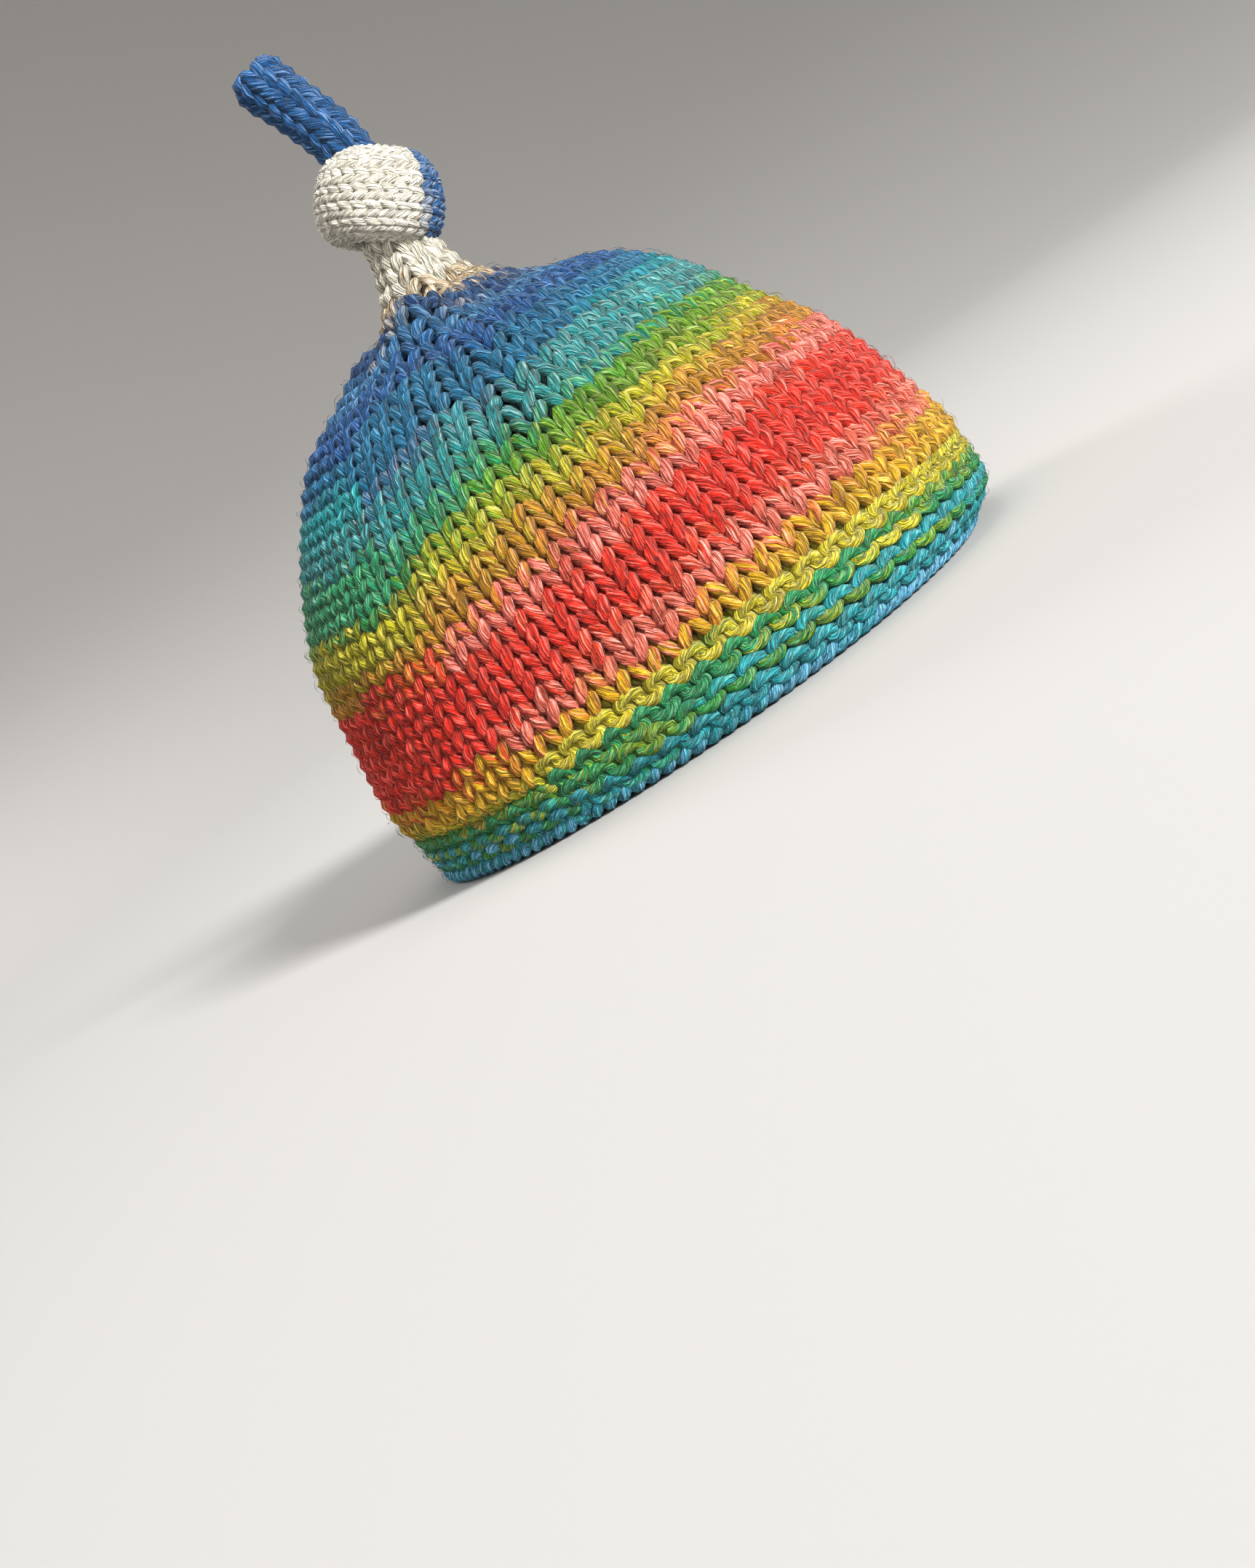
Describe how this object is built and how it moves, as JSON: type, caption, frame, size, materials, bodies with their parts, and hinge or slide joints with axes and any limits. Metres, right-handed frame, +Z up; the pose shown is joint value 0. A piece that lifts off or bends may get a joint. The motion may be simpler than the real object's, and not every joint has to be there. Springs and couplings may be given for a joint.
{
  "type": "top knot beanie",
  "caption": "Hand-knitted baby beanie with a garter-stitch band and a gathered crown that ends in a knotted cord, resting on its rim.",
  "frame": {"origin": "centre of the hat's length and width, on the plane of the rim", "axes": "+X towards the front of the hat, +Z up towards the knot"},
  "size_m": [0.135, 0.1264, 0.1502],
  "materials": {
    "band_yarn": "matt wool yarn in garter stitch, blue to yellow",
    "body_yarn": "matt wool yarn in stockinette, red between gold and green",
    "crown_yarn": "matt wool yarn in stockinette, teal to blue",
    "neck_yarn": "matt wool yarn, cream and tan",
    "knot_yarn": "matt wool yarn, cream",
    "tail_yarn": "matt wool yarn, blue"
  },
  "bodies": {
    "root": {"garter_band": "band_yarn", "knit_body": "body_yarn", "gathered_crown": "crown_yarn", "cord_neck": "neck_yarn", "knot_wrap": "knot_yarn", "cord_tail": "tail_yarn"}
  },
  "joints": []
}
